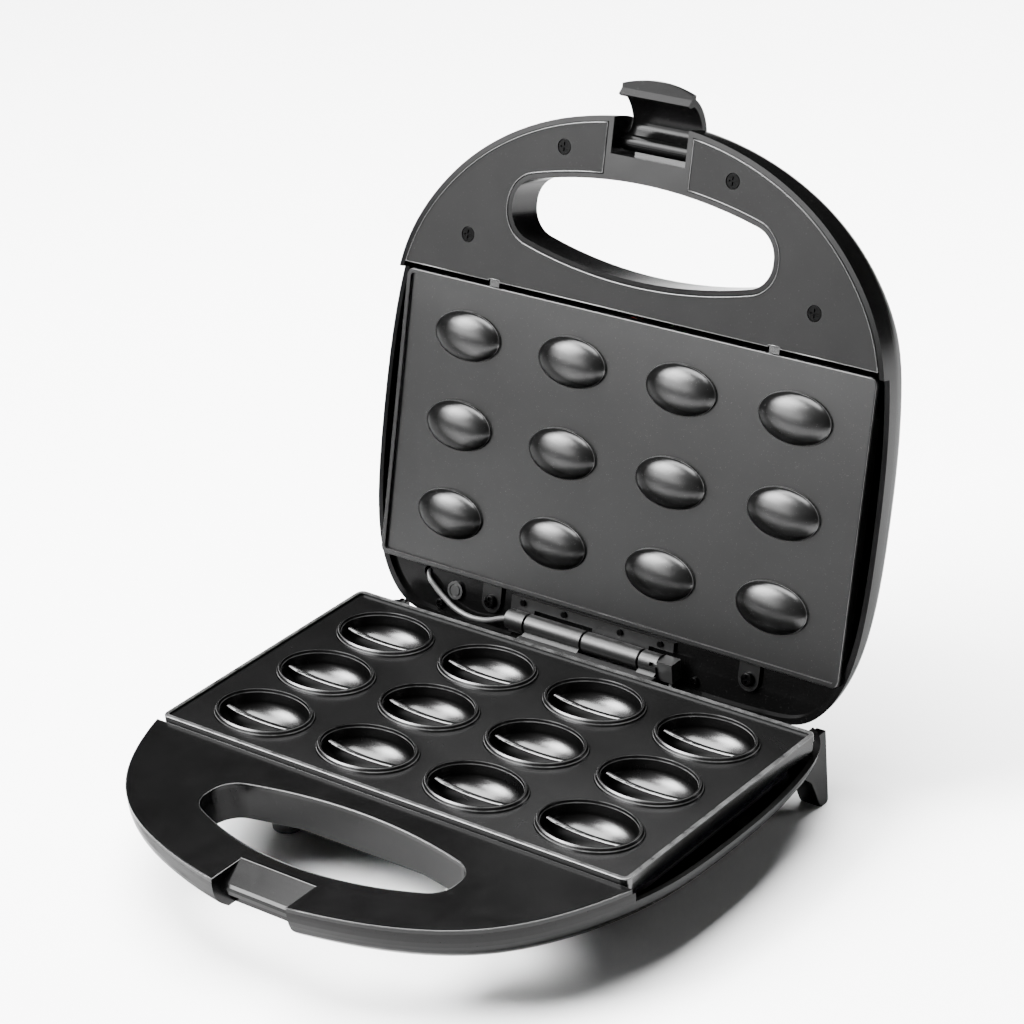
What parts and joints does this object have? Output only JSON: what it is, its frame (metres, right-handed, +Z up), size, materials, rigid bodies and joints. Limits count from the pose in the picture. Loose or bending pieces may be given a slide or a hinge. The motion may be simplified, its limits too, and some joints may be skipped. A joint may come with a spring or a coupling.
{
  "type": "electric nut cookie maker",
  "caption": "Countertop cooker for nut-shaped cookies: hinged lid with domed hot plate over a base plate with ridged oval cavities, finger-gap handles and a swing latch.",
  "frame": {"origin": "centre of the open cooker's footprint box on the worktop", "axes": "+Z up, -Y towards the handles, X along the hinge; at rest the lid stands open by 106 degrees"},
  "size_m": [0.2358, 0.268, 0.2485],
  "materials": {
    "shell_gloss": "gloss black moulded plastic",
    "cover_gloss": "gloss black moulded plastic, fine orange peel",
    "cover_matte": "satin dark grey textured plastic",
    "lower_coating": "cast, black non-stick coating, semi gloss",
    "upper_coating": "cast, black non-stick coating with a fine metallic speckle",
    "heater_steel": "annealed steel sheath",
    "spring_steel": "spring steel strip",
    "pan_metal": "dull sheet steel",
    "thermostat_metal": "nickel plated",
    "fuse_sleeve": "woven glass sleeve",
    "terminal_plastic": "off-white moulding",
    "gland_plastic": "black moulded bush",
    "lead_sleeve": "heat resistant sleeve",
    "lead_grey": "dark grey heat resistant sleeve",
    "foot_rubber": "black rubber",
    "screw_black": "black oxide steel",
    "hinge_plastic": "satin black moulding",
    "cap_plastic": "black moulding",
    "tube_steel": "steel",
    "clip_metal": "bright spring steel",
    "lens_red": "translucent red",
    "lens_green": "translucent green",
    "lamp_glass": "clear glass",
    "latch_plastic": "gloss black moulded plastic"
  },
  "bodies": {
    "base": {"base_shell": "shell_gloss", "base_handle_cover": "cover_gloss", "lower_plate": "lower_coating", "lower_heating_element": "heater_steel", "lower_element_clips": "spring_steel", "lower_reflector": "pan_metal", "thermostat": "thermostat_metal", "thermal_fuse": "fuse_sleeve", "terminal_block": "terminal_plastic", "cord_gland": "gland_plastic", "internal_leads": "lead_sleeve", "front_feet": "foot_rubber", "base_cover_screws": "screw_black", "lower_plate_screws": "screw_black", "base_hinge_bracket": "hinge_plastic", "base_hinge_screws": "screw_black", "hinge_tube": "tube_steel", "hinge_end_cap": "cap_plastic", "base_lead": "lead_grey"},
    "lid": {"lid_shell": "shell_gloss", "lid_handle_cover": "cover_matte", "lid_cover_screws": "screw_black", "upper_plate": "upper_coating", "upper_heating_element": "heater_steel", "upper_element_clips": "spring_steel", "upper_reflector": "pan_metal", "upper_plate_screws": "screw_black", "upper_plate_clips": "clip_metal", "lid_hinge_bracket": "hinge_plastic", "lid_hinge_screws": "screw_black", "lid_lead": "lead_grey", "lead_screws": "screw_black", "lead_plug": "cap_plastic", "power_lamp_lens": "lens_red", "ready_lamp_lens": "lens_green", "neon_lamps": "lamp_glass", "latch_pin": "tube_steel"},
    "latch": {"latch": "latch_plastic"}
  },
  "joints": [
    {"name": "lid_hinge", "type": "hinge", "parent": "base", "child": "lid", "pos_m": [0, 0.06616, 0.04028], "axis": [1, 0, 0], "range_deg": [0, 106]},
    {"name": "latch_swing", "type": "hinge", "parent": "lid", "child": "latch", "pos_m": [0, 0.12542, 0.22257], "axis": [1, 0, 0], "range_deg": [0, 62]}
  ]
}
